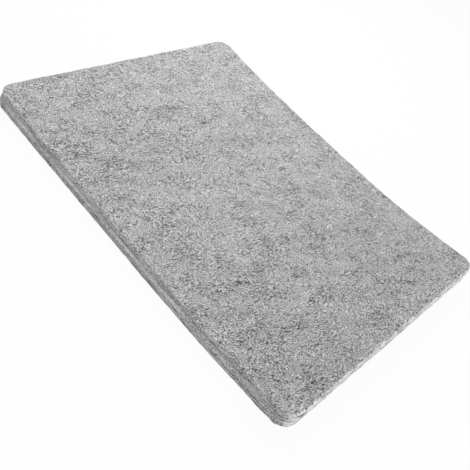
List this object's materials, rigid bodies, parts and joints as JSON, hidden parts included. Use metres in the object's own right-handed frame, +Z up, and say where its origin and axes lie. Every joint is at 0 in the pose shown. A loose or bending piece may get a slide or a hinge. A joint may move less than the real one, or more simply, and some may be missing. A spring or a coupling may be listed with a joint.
{
  "type": "ironing pad",
  "caption": "Thick heathered grey felt ironing pad with rounded corners, made of felt plies glued face to face, lying with its ends gently curled up",
  "frame": {"origin": "under the middle of the pad's box, on the plane that the flat middle of its underside rests on", "axes": "+X along the long side towards the end that curls up more, +Y along the short side, +Z up out of the ironed face"},
  "size_m": [0.3064, 0.2306, 0.0226],
  "materials": {
    "upper_felt": "matt heathered grey pressed wool felt",
    "lower_felt": "matt heathered grey pressed wool felt",
    "glue": "pale hot-melt adhesive web"
  },
  "bodies": {
    "root": {"lower_felt_ply": "lower_felt", "glue_web": "glue", "upper_felt_ply": "upper_felt"}
  },
  "joints": []
}
